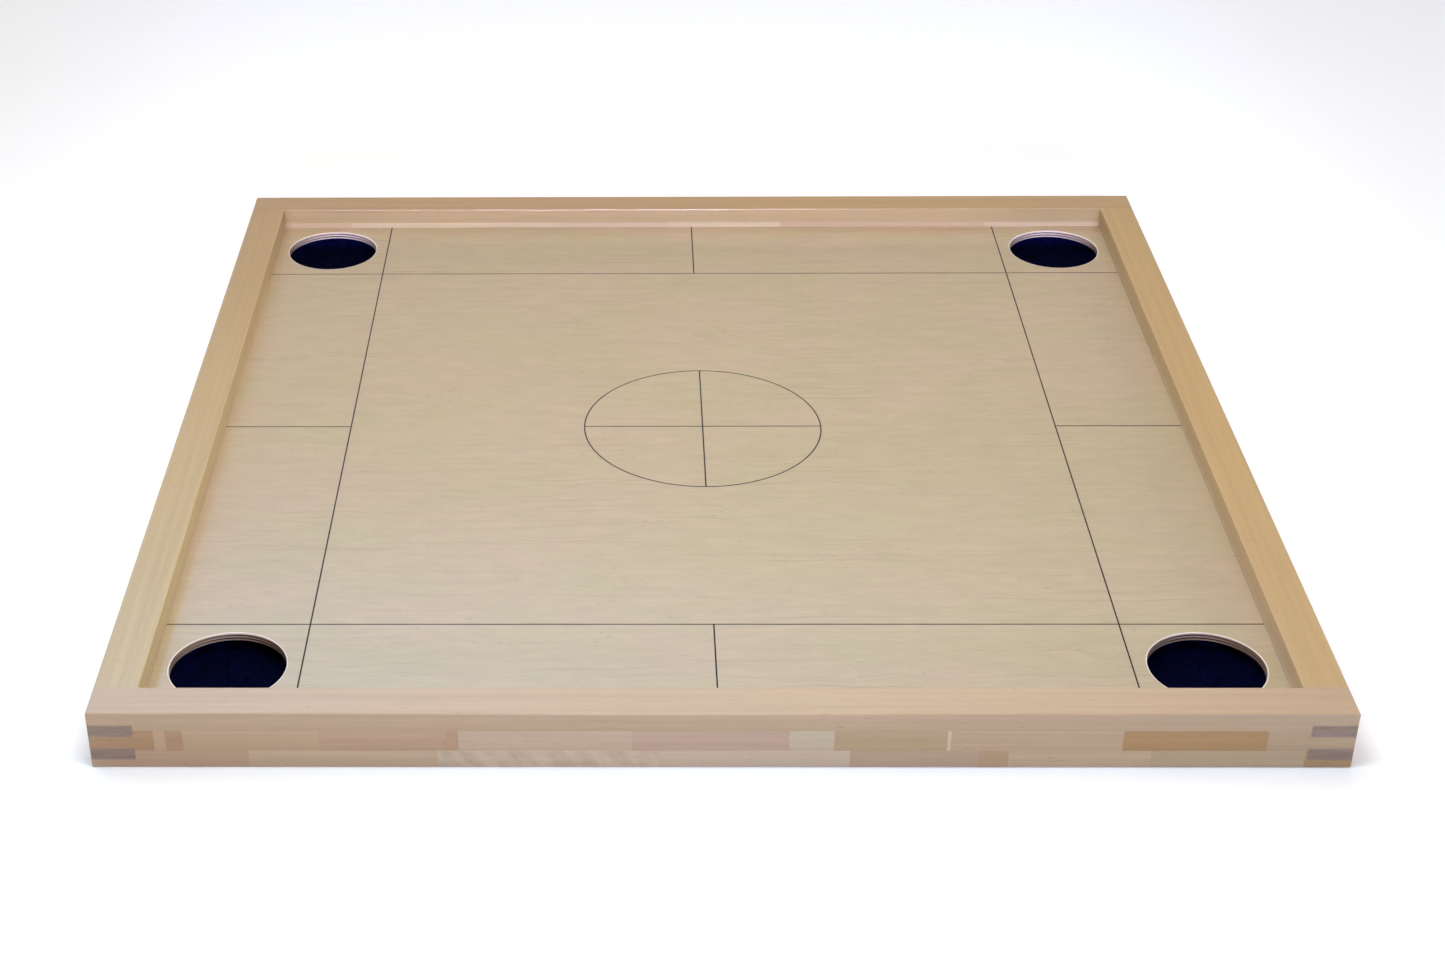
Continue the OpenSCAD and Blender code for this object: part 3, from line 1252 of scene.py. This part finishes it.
@dataclass
class Panel:
    """The plywood field with its four holes.

    Attributes:
        board: The shared sizes.
        around: Vertices round a hole.
        patch_half: Half the square of mesh that surrounds a hole.
        rim: Radius of the eased rim of a hole.
        under_ease: Size of the small bevel at the hole's lower edge.
    """

    board: Board
    around: int = 128
    patch_half: float = 58.0
    rim: float = 1.0
    under_ease: float = 0.3

    def square_ring(self) -> np.ndarray:
        """Gives points round a square of half side 1, evenly spaced on each side.

        Returns:
            X and Y, one point to a row, anticlockwise.
        """
        per_side = self.around // 4
        step = np.linspace(-1, 1, per_side, endpoint=False)
        one = np.ones(per_side)
        sides = [(one, step), (-step, one), (-one, -step), (step, -one)]
        return np.concatenate([np.stack(side, axis=1) for side in sides])

    def hole(self, centre: Pair) -> Surface:
        """Makes the ring of mesh from the square patch over the eased rim, down the wall and back out.

        The rim is a quarter circle: r = hole + rim (1 - sin t), z = top - rim (1 - cos t).

        Args:
            centre: The hole's centre.

        Returns:
            The open ring, with the wall in material 1 and the rim in material 2.
        """
        b = self.board
        square = self.square_ring()
        circle = square / np.linalg.norm(square, axis=1)[:, None]
        turns = np.linspace(0, math.pi / 2, 5)
        rim_r = b.pocket_r + self.rim * (1 - np.sin(turns))
        rim_z = b.panel_top - self.rim * (1 - np.cos(turns))
        wall_z = np.linspace(b.panel_top - self.rim, b.panel_under + self.under_ease, 6)[1:]
        profile = [(b.pocket_r + self.rim + 0.3, b.panel_top), *zip(rim_r, rim_z)]
        profile += [(b.pocket_r, z) for z in wall_z]
        profile += [(b.pocket_r + self.under_ease, b.panel_under), (b.pocket_r + 1.0, b.panel_under)]
        rings = [np.column_stack([circle * r, np.full(self.around, z)]) for r, z in profile]
        top, under = (
            np.column_stack([square * self.patch_half, np.full(self.around, z)])
            for z in (b.panel_top, b.panel_under)
        )
        points = np.concatenate([top, *rings, under]) + np.array([*centre, 0])
        quads = grid_quads(len(rings) + 2, self.around, closed=True)
        row = np.arange(len(quads)) // self.around
        wall = (row >= 4) & (row < len(rings) - 1)
        rim = (row >= 1) & (row < 4)
        return Surface(points, quads, wall + 2 * rim)

    def plate(self) -> Surface:
        """Makes the flat faces round the square patches, and the panel's four edges.

        Returns:
            The open plate, with its edges in material 1.
        """
        b = self.board
        patch = np.linspace(-1, 1, self.around // 4 + 1) * self.patch_half
        between = np.linspace(-300, 300, 13)
        edges = [-b.panel_half, b.panel_half]
        lines = np.concatenate([patch - b.pocket_xy, patch + b.pocket_xy, between, edges])
        lines = np.unique(np.round(lines, 5))
        cells = Cells((lines, lines, np.array([b.panel_under, b.panel_top])), np.zeros(0))
        x, y, _ = cells.centres()
        cells.filled = np.ones(x.shape, bool)
        surface, owner, side = cells.skin()
        off_x, off_y = np.abs(np.abs(x) - b.pocket_xy), np.abs(np.abs(y) - b.pocket_xy)
        patches = (off_x < self.patch_half) & (off_y < self.patch_half)
        keep = ~patches[tuple(owner.T)]
        return Surface(surface.points, surface.quads[keep], (np.abs(side[keep]) < 3).astype(int))

    def build(self) -> None:
        """Makes the panel and hangs it on the frame."""
        b = self.board
        surface = joined([self.plate(), *(self.hole(centre) for centre in b.pockets().values())]).welded()
        # The third finish paints a highlight on each hole's rim.
        finishes = (BirchVeneer(), PlyEdge(bottom_mm=b.panel_under), RimPaintedHighlight())
        materials = [finish.build() for finish in finishes]
        place_piece(surface.to_object("playing_panel_plywood", materials), "panel_ply", "playing_panel")


@dataclass
class MarkingLines:
    """The ink lines on the field.

    Attributes:
        board: The shared sizes.
        zone: Distance from a rail to the line beside it.
        circle_r: Radius of the centre circle.
        width: Width of a line.
        lift: Thickness of the ink.
        around: Vertices round the circle.
    """

    board: Board
    zone: float = 131.5
    circle_r: float = 123.5
    width: float = 1.4
    lift: float = 0.04
    around: int = 256

    def strokes(self, reach: float, zone: float | None) -> Surface:
        """Makes the straight lines as one flat solid.

        Args:
            reach: How far the lines reach from the board's middle.
            zone: Distance of the side lines from the middle, or None for a plain cross.

        Returns:
            The closed surface.
        """
        w, b = self.width / 2, self.board
        ends = [-reach, -w, w, reach]
        lines = ends if zone is None else ends + [-zone - w, -zone + w, zone - w, zone + w]
        lines = np.unique(np.array(lines))
        cells = Cells((lines, lines, np.array([b.panel_top, b.panel_top + self.lift])), np.zeros(0))
        x, y, _ = (np.abs(part) for part in cells.centres())
        cells.filled = np.minimum(x, y) < w
        if zone is not None:
            beside_rail = (np.abs(x - zone) < w) | (np.abs(y - zone) < w)
            cells.filled = (cells.filled & (np.maximum(x, y) > zone)) | beside_rail
        return cells.skin()[0]

    def ring(self) -> Surface:
        """Makes the circle: a flat ring whose section is a low rectangle.

        Returns:
            The closed surface.
        """
        low, high = self.board.panel_top, self.board.panel_top + self.lift
        inner, outer = self.circle_r - self.width / 2, self.circle_r + self.width / 2
        section = np.array([(inner, low), (inner, high), (outer, high), (outer, low), (inner, low)])
        points = round_points(section[:, :1], section[:, 1:], full_circle(self.around))
        return Surface(points, grid_quads(len(section), self.around, closed=True)[:, ::-1]).welded()

    def build(self) -> None:
        """Makes the lines and hangs them on the frame."""
        b = self.board
        parts = [
            self.strokes(b.half, b.half - self.zone),
            self.strokes(self.circle_r - self.width / 2, None),
            self.ring(),
        ]
        piece = joined(parts).to_object("marking_lines_ink", (InkLine().build(),))
        place_piece(piece, "line_ink", "marking_lines")


# ---------------------------------------------------------------- pouches


@dataclass(frozen=True)
class Staple:
    """A flat wire staple, seen from below as its crown, in millimetres.

    Attributes:
        crown: Width of the crown.
        leg: Length of a leg.
        bend: Radius of the bend between them.
        half_w: Half the wire's width.
        half_t: Half its thickness.
    """

    crown: float = 10.0
    leg: float = 5.0
    bend: float = 0.8
    half_w: float = 0.6
    half_t: float = 0.3

    def surface(self, tape_r: float, tape_under: float) -> Surface:
        """Carries the wire's section along straight runs joined by quarter circles.

        Args:
            tape_r: Distance of the staple from the pocket's centre.
            tape_under: Height of the face that it is driven into from below.

        Returns:
            The open tube, with its legs in the panel.
        """
        turns = np.linspace(math.pi / 2, 0, 5)
        inner = self.crown / 2 - self.bend
        bend = np.stack([inner + self.bend * np.sin(turns), self.bend * np.cos(turns) - self.bend], axis=1)
        half = np.concatenate([[[self.crown / 2, -self.leg]], bend])
        path = np.concatenate([half, (half * (-1, 1))[::-1]])
        step = np.gradient(path, axis=0)
        normal = np.stack([-step[:, 1], step[:, 0]], axis=1) / np.linalg.norm(step, axis=1)[:, None]
        w, t = self.half_w, self.half_t
        section = ((-w, -t), (w, -t), (w, t), (-w, t))
        rings = [np.column_stack([np.full(len(path), side), path + normal * up]) for side, up in section]
        points = np.stack(rings, axis=1).reshape(-1, 3)
        points[:, 2] = tape_under - t - points[:, 2]
        points[:, 0] += tape_r
        return Surface(points, grid_quads(len(path), len(section), closed=True))


@dataclass
class Pouches:
    """The four cloth pouches with their tapes and staples.

    Attributes:
        board: The shared sizes.
        around: Vertices round a pouch.
        cut_r: Radius of the round piece of cloth that a pouch is gathered from.
        cloth: Thickness of the cloth.
        folds: Gathers round a pouch.
        tape_w: Width of a tape's CAD ring.
        tape_half_w: Half the width of the tape itself.
        tape_around: Vertices round a tape.
        staples: Staples round a pouch.
        staple: One staple.
    """

    board: Board
    around: int = 288
    cut_r: float = 87.0
    cloth: float = 0.7
    folds: int = 9
    tape_w: float = 7.0
    tape_half_w: float = 3.4
    tape_around: int = 180
    staples: int = 12
    staple: Staple = Staple()

    def profile(self) -> np.ndarray:
        """Gives the radius and height of the unfolded pouch from its hem to its middle.

        The corner points are joined by a curve: the line through them is resampled evenly and then
        averaged with a short moving window.

        Returns:
            Radius and height, one point to a row.
        """
        top = self.board.panel_under
        corners = np.array([
            (62.5, top - 0.8), (54.8, top - 0.8), (53.4, top - 2.2), (54.5, top - 6.5), (56.0, top - 11.0),
            (54.0, 9.5), (48.0, 6.0), (37.0, 4.2), (20.0, 3.2), (0.0, 3.0),
        ])
        run = run_along(corners)
        even = np.linspace(0, run[-1], 90)
        line = np.stack([np.interp(even, run, corners[:, i]) for i in range(2)], axis=1)
        padded = np.concatenate([np.repeat(line[:1], 3, axis=0), line, np.repeat(line[-1:], 3, axis=0)])
        return np.stack([np.convolve(padded[:, i], np.ones(7) / 7, mode="valid") for i in range(2)], axis=1)

    def cloth_surface(self, seed: int) -> LaidOut:
        """Makes one pouch as a surface of turn and distance from the hem.

        The folds are a sum of sines of the turn with seeded phases, flattened by a hyperbolic tangent.
        They push the wall in and out and lift the bottom, fade at the stapled hem, and die away
        towards the middle.

        Args:
            seed: The seed of the phases.

        Returns:
            The surface, and each vertex's place on the flat cut in millimetres.
        """
        rng = np.random.default_rng(seed)
        line = self.profile()
        turn = full_circle(self.around)
        run = run_along(line)
        share = run / run[-1]
        wave = np.zeros((len(line), self.around))
        for order, weight in ((self.folds, 1.0), (self.folds + 4, 0.6), (self.folds + 10, 0.35), (4, 0.5)):
            phase = rng.uniform(0, 2 * math.pi)
            drift = rng.uniform(-1.2, 1.2)
            wave += weight * np.sin(order * turn[None, :] + phase + drift * share[:, None] * 3)
        wave = np.tanh(wave * 0.9)
        # How far the folds move the cloth, in millimetres, at these distances from the hem.
        wall = np.interp(run, [7, 13, 24, 36, 56, run[-1]], [0.0, 1.8, 3.9, 3.4, 1.4, 0.0])
        floor = np.interp(run, [18, 34, 56, run[-1] - 12, run[-1]], [0.0, 2.0, 2.6, 1.2, 0.0])
        radius = line[:, :1] + wall[:, None] * wave
        radius[-1] = 0.0
        slow = np.sin(2 * turn + rng.uniform(0, 6))[None, :] * np.sin(share * math.pi)[:, None]
        height = line[:, 1:] + floor[:, None] * (1 + wave + 0.5 * slow)
        flat = round_points((self.cut_r * (1 - share))[:, None], 0.0, turn)[:, :2]
        quads = grid_quads(len(line), self.around, closed=True)
        return Surface(round_points(radius, height, turn), quads), flat

    def tape_surface(self) -> LaidOut:
        """Makes the tape over a hem: a flat ring whose section is a superellipse.

        The section's points are half_w c, half_t s, with c and s the cosine and sine brought to the
        power of 0.45 with their signs kept. The tape waves in and out by 0.15 mm, nine times round.

        Returns:
            The closed surface, and each vertex's place along and across the tape in millimetres.
        """
        low, high = box_mm("front_right_hem_tape")
        middle = (high[0] - low[0]) / 2 - self.tape_w / 2
        half_t, z = (high[2] - low[2]) / 2, (high[2] + low[2]) / 2
        corner = full_circle(20)
        circle = np.stack([np.cos(corner), np.sin(corner)])
        squarish = np.sign(circle) * np.abs(circle) ** 0.45
        section = (squarish.T * (self.tape_half_w, half_t))[[*range(len(corner)), 0]]
        off, up = section[:, :1], section[:, 1:]
        turn = full_circle(self.tape_around)
        points = round_points(middle + off + 0.15 * np.sin(9 * turn), z + up, turn)
        flat = np.stack(np.broadcast_arrays(middle * turn, off), axis=2).reshape(-1, 2)
        return Surface(points, grid_quads(len(section), len(turn), closed=True)[:, ::-1]), flat

    def build_sheet(self, name: str, made: LaidOut, centre: Pair, material: Any) -> Any:
        """Puts a pouch or a tape in its place and stores its flat layout as its UV map.

        Args:
            name: The piece's name.
            made: Its surface and flat layout.
            centre: The pocket's centre.
            material: Its finish.

        Returns:
            The piece.
        """
        surface, flat = made
        surface.points = surface.points + np.array([*centre, 0])
        piece = surface.to_object(name, (material,), sharp_degrees=180)
        layer = piece.data.uv_layers.new(name="cut")
        layer.data.foreach_set("uv", (flat[surface.quads.ravel()] * MM).ravel())
        return piece

    def build(self) -> None:
        """Makes the pouches, tapes and staples and hangs them on the frame."""
        cloth, webbing = PouchCloth().build(), Webbing().build()
        low, high = box_mm("front_right_hem_tape")
        one = self.staple.surface((high[0] - low[0]) / 2 - self.tape_w / 2, float(low[2]))
        turns = [turn_about_z((number + 0.5) * 2 * math.pi / self.staples) for number in range(self.staples)]
        ring = joined([Surface(one.points @ turn.T, one.quads) for turn in turns])
        rings = []
        for seed, (name, centre) in enumerate(self.board.pockets().items(), start=3):
            pouch = self.build_sheet(f"{name}_pouch_cloth", self.cloth_surface(seed), centre, cloth)
            solid = pouch.modifiers.new("cloth thickness", "SOLIDIFY")
            solid.thickness = self.cloth * MM
            solid.offset = 0
            place_piece(pouch, "pouch_cloth", f"{name}_pouch")
            tape = self.build_sheet(f"{name}_hem_tape_webbing", self.tape_surface(), centre, webbing)
            place_piece(tape, "hem_webbing", f"{name}_hem_tape")
            rings.append(Surface(ring.points + np.array([*centre, 0]), ring.quads))
        zinc = PlatedSteel(name="galvanised_staple_wire_drawn", colour="b9bcc0", gloss_roughness=0.32)
        staples = joined(rings).to_object("hem_staples_wire", (zinc.build(),))
        place_piece(staples, "staple_wire", "hem_staples")


# ---------------------------------------------------------------- battens and screws


@dataclass
class Battens:
    """The half-lapped battens under the panel and their screws.

    The battens keep their CAD shape, with its laps and countersinks, and only get their wood.

    Attributes:
        pitch: Distance between screws.
        each_way: Screws on each side of the crossing.
        head_r: Radius of a screw's head.
        head_h: Height of its countersunk cone.
        shank_r: Radius of its shank.
        shank: Length of the shank that is drawn.
        recess: Depth of the cross recess.
        arm: Half the length of the recess's arms.
        arm_half_w: Half their width.
        sink: How far a head lies below the batten's face.
    """

    pitch: float = 150.0
    each_way: int = 3
    head_r: float = 3.5
    head_h: float = 2.5
    shank_r: float = 1.75
    shank: float = 6.0
    recess: float = 1.3
    arm: float = 1.9
    arm_half_w: float = 0.55
    sink: float = 0.05

    def dress(self, node: str, along_x: bool) -> None:
        """Gives a CAD batten its wood.

        Args:
            node: The batten's CAD node.
            along_x: Whether it runs along X rather than along Y.
        """
        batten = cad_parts[node]
        wood = Softwood(name=f"pine_planed_bare_{node}", along_x=along_x).build()
        if not batten.material_slots:
            batten.data.materials.append(wood)
        for slot in batten.material_slots:
            slot.material = wood
        log.info("%s: dressed", node)

    def recess_arm(self, along: np.ndarray, across: np.ndarray) -> np.ndarray:
        """Gives one bar of the cross recess as a depth from 0 to 1, with soft edges.

        Args:
            along: Distance from the head's middle along the bar.
            across: Distance from the bar's middle line.

        Returns:
            The depth's share at each point.
        """
        side = np.clip((self.arm_half_w - np.abs(across)) / 0.25, 0, 1)
        end = np.clip((self.arm - np.abs(along)) / 0.3, 0, 1)
        return side * end

    def screw_surface(self) -> Surface:
        """Makes one screw head and neck as a surface of revolution with a cross recess.

        The flat face is 12 rings. Within the cross it is pushed in by the deeper of the two bars.

        Returns:
            The surface, with its face at z = 0 and its shank above.
        """
        face = np.linspace(0.001, self.head_r, 12)
        radii = np.concatenate([face, [self.head_r, self.shank_r, self.shank_r]])
        depth = np.concatenate([np.zeros(len(face)), [0.15, self.head_h, self.head_h + self.shank]])
        turn = full_circle(48)
        x, y = radii[:, None] * np.cos(turn), radii[:, None] * np.sin(turn)
        pushed = self.recess * np.maximum(self.recess_arm(y, x), self.recess_arm(x, y))
        pushed[len(face) :] = 0
        points = round_points(radii[:, None], depth[:, None] + pushed, turn)
        return Surface(points, grid_quads(len(radii), len(turn), closed=True)[:, ::-1])

    def build(self) -> None:
        """Dresses the battens, makes the screws and hangs them on the frame.

        Each screw is turned 0.7 radians further than the last, so no two recesses lie alike.
        """
        self.dress("cross_batten", True)
        self.dress("long_batten", False)
        under = float(box_mm("cross_batten")[0][2])
        one = self.screw_surface()
        steps = np.arange(-self.each_way, self.each_way + 1) * self.pitch
        places = [(x, 0.0) for x in steps] + [(0.0, y) for y in steps if y != 0]
        screws = []
        for number, (x, y) in enumerate(places):
            turned = one.points @ turn_about_z(number * 0.7).T
            screws.append(Surface(turned + np.array([x, y, under + self.sink]), one.quads))
        zinc = PlatedSteel(name="yellow_zinc_screw_plated", colour="c9b26a", gloss_roughness=0.3)
        piece = joined(screws).to_object("batten_screws_countersunk", (zinc.build(),))
        place_piece(piece, "screw_steel", "batten_screws")


# ---------------------------------------------------------------- studio


@dataclass
class Studio:
    """The camera, the pale floor and the soft lights.

    Attributes:
        camera_mm: The camera's place.
        turn_deg: The camera's turns about X, Y and Z.
        lens_mm: Its focal length.
        sensor_mm: Its sensor's width.
        shift_x: Its sideways shift, as a share of the picture's width.
        room: Radiance of the surroundings, in red, green and blue, as all the lights below are.
        window: Radiance of the window high behind the board.
        wall: Radiance of the pale wall below it.
        overhead: Watts of the soft box overhead.
        right_side: Watts of the narrow soft box aimed at the left rail's inner face.
        front_right: Watts of the soft box in front on the right.
        near_edge: Watts of the soft box over the front rail, which lights the inner faces.
        far_wall: Watts of the narrow soft box aimed at the back rail's inner face.
        glow: How much the floor glows, as a lit table does.
        floor_reach_mm: Half the floor's side, so far that its edge never shows.
    """

    camera_mm: Vector3 = (-78.1, -2139.2, 1235.2)
    turn_deg: Vector3 = (59.257, 0.397, 0.564)
    lens_mm: float = 58.33
    sensor_mm: float = 36.0
    shift_x: float = 0.0848
    room: Vector3 = (0.18, 0.14, 0.10)
    window: Vector3 = (1.6, 3.3, 6.0)
    wall: Vector3 = (1.6, 1.6, 1.6)
    overhead: Vector3 = (43, 29, 5)
    right_side: Vector3 = (0.7, 0.95, 1.1)
    front_right: Vector3 = (6.4, 13, 30)
    near_edge: Vector3 = (7.3, 9.2, 11.0)
    far_wall: Vector3 = (1.05, 1.45, 2.8)
    glow: float = 0.17
    floor_reach_mm: float = 40000.0

    def build_camera(self) -> None:
        """Makes the camera and hands it to the scene."""
        data = bpy.data.cameras.new("camera")
        data.lens = self.lens_mm
        data.sensor_width = self.sensor_mm
        data.shift_x = self.shift_x
        camera = bpy.data.objects.new("camera", data)
        camera.location = np.array(self.camera_mm) * MM
        camera.rotation_euler = Euler([math.radians(turn) for turn in self.turn_deg])
        bpy.context.scene.collection.objects.link(camera)
        bpy.context.scene.camera = camera

    def build_floor(self) -> None:
        """Makes the floor, a wide matte sheet just under the rails."""
        side = np.array([-self.floor_reach_mm, self.floor_reach_mm])
        x, y = np.meshgrid(side, side)
        points = np.stack([x.ravel(), y.ravel(), np.full(4, -0.1)], axis=1)
        paper = FloorPaper(glow=self.glow).build()
        floor = Surface(points, grid_quads(2, 2)).to_object("floor", (paper,))

    def add_lamp(self, name: str, place: Vector3, aim: Vector3, size: Pair, power: Vector3) -> Any:
        """Adds one soft box.

        Args:
            name: Its name.
            place: Its centre, in metres.
            aim: The point it faces, in metres.
            size: Width and height, in metres.
            power: Watts in red, green and blue.

        Returns:
            The lamp's data.
        """
        data = bpy.data.lights.new(name, "AREA")
        data.shape, data.size, data.size_y = "RECTANGLE", *size
        data.energy = max(power)
        data.color = [share / max(power) for share in power]
        lamp = bpy.data.objects.new(name, data)
        lamp.location = place
        lamp.visible_camera = False
        lamp.rotation_euler = (Vector(aim) - Vector(place)).to_track_quat("-Z", "Y").to_euler()
        bpy.context.scene.collection.objects.link(lamp)
        return data

    def build_world(self) -> None:
        """Makes the surroundings: a dim warm room, a window high behind the board and a wall below it.

        Each bright area is a product of smooth steps of the direction's parts, given by what part it is,
        where it is dark and where it is fully bright. The window gives the near end of the board its
        cool sheen, and the wall lights the far side of each rounded arris.
        """
        world = bpy.data.worlds.new("room")
        bpy.context.scene.world = world
        world.use_nodes = True
        tree = world.node_tree
        back = next(node for node in tree.nodes if node.type == "BACKGROUND")
        direction = add_node(tree, "TexCoord", output="Generated")
        part = {axis: add_node(tree, "SeparateXYZ", {0: direction}, output=axis) for axis in "XYZ"}
        colour: Any = self.room
        for radiance, steps in (
            (self.window, (("Z", 0.48, 0.64), ("Z", 0.90, 0.72), ("X", 0.60, -0.55), ("Y", 0.0, 0.4))),
            (self.wall, (("Z", -0.02, 0.03), ("Z", 0.40, 0.20), ("Y", 0.1, 0.5))),
        ):
            area: Any = 1.0
            for axis, start, full in steps:
                rise = ramp(part[axis], (start, full), (0.0, 1.0))
                step = add_node(tree, "MapRange", rise, interpolation_type="SMOOTHSTEP")
                area = add_node(tree, "Math", {0: area, 1: step}, operation="MULTIPLY")
            bright = add_node(tree, "VectorMath", {0: radiance, "Scale": area}, operation="SCALE")
            colour = add_node(tree, "VectorMath", {0: bright, 1: colour}, operation="ADD")
        tree.links.new(colour, back.inputs["Color"])

    def build_light(self) -> None:
        """Makes the surroundings and the soft boxes."""
        self.build_world()
        self.add_lamp("soft_box_overhead", (0.0, 0.3, 2.6), (0, 0, 0), (3.0, 3.0), self.overhead)
        self.add_lamp("soft_box_front_right", (1.7, -2.4, 2.0), (0.1, 0, 0), (1.4, 1.4), self.front_right)
        self.add_lamp("soft_box_near_edge", (-0.1, -0.75, 1.25), (0, 0.35, 0), (0.62, 0.3), self.near_edge)
        far = self.add_lamp("soft_box_far_wall", (0, -1.9, 0.45), (0, 0.5, 0.05), (1.6, 0.2), self.far_wall)
        far.spread = math.radians(12)
        beside, aim = (2.0, 0, 0.7), (-0.5, -0.1, 0.05)
        right = self.add_lamp("soft_box_right_side", beside, aim, (1.2, 0.2), self.right_side)
        right.spread = math.radians(26)
        bpy.context.scene.view_settings.view_transform = "Standard"

    def build(self) -> None:
        """Makes the whole studio."""
        self.build_camera()
        self.build_floor()
        self.build_light()


def main() -> None:
    """Builds the studio and then each sub-assembly."""
    logging.basicConfig(level=logging.INFO, format="%(name)s: %(message)s")
    Studio().build()
    board = Board.from_frame()
    Rails(board).build()
    Panel(board).build()
    MarkingLines(board).build()
    Pouches(board).build()
    Battens().build()


if __name__ == "__main__":
    main()
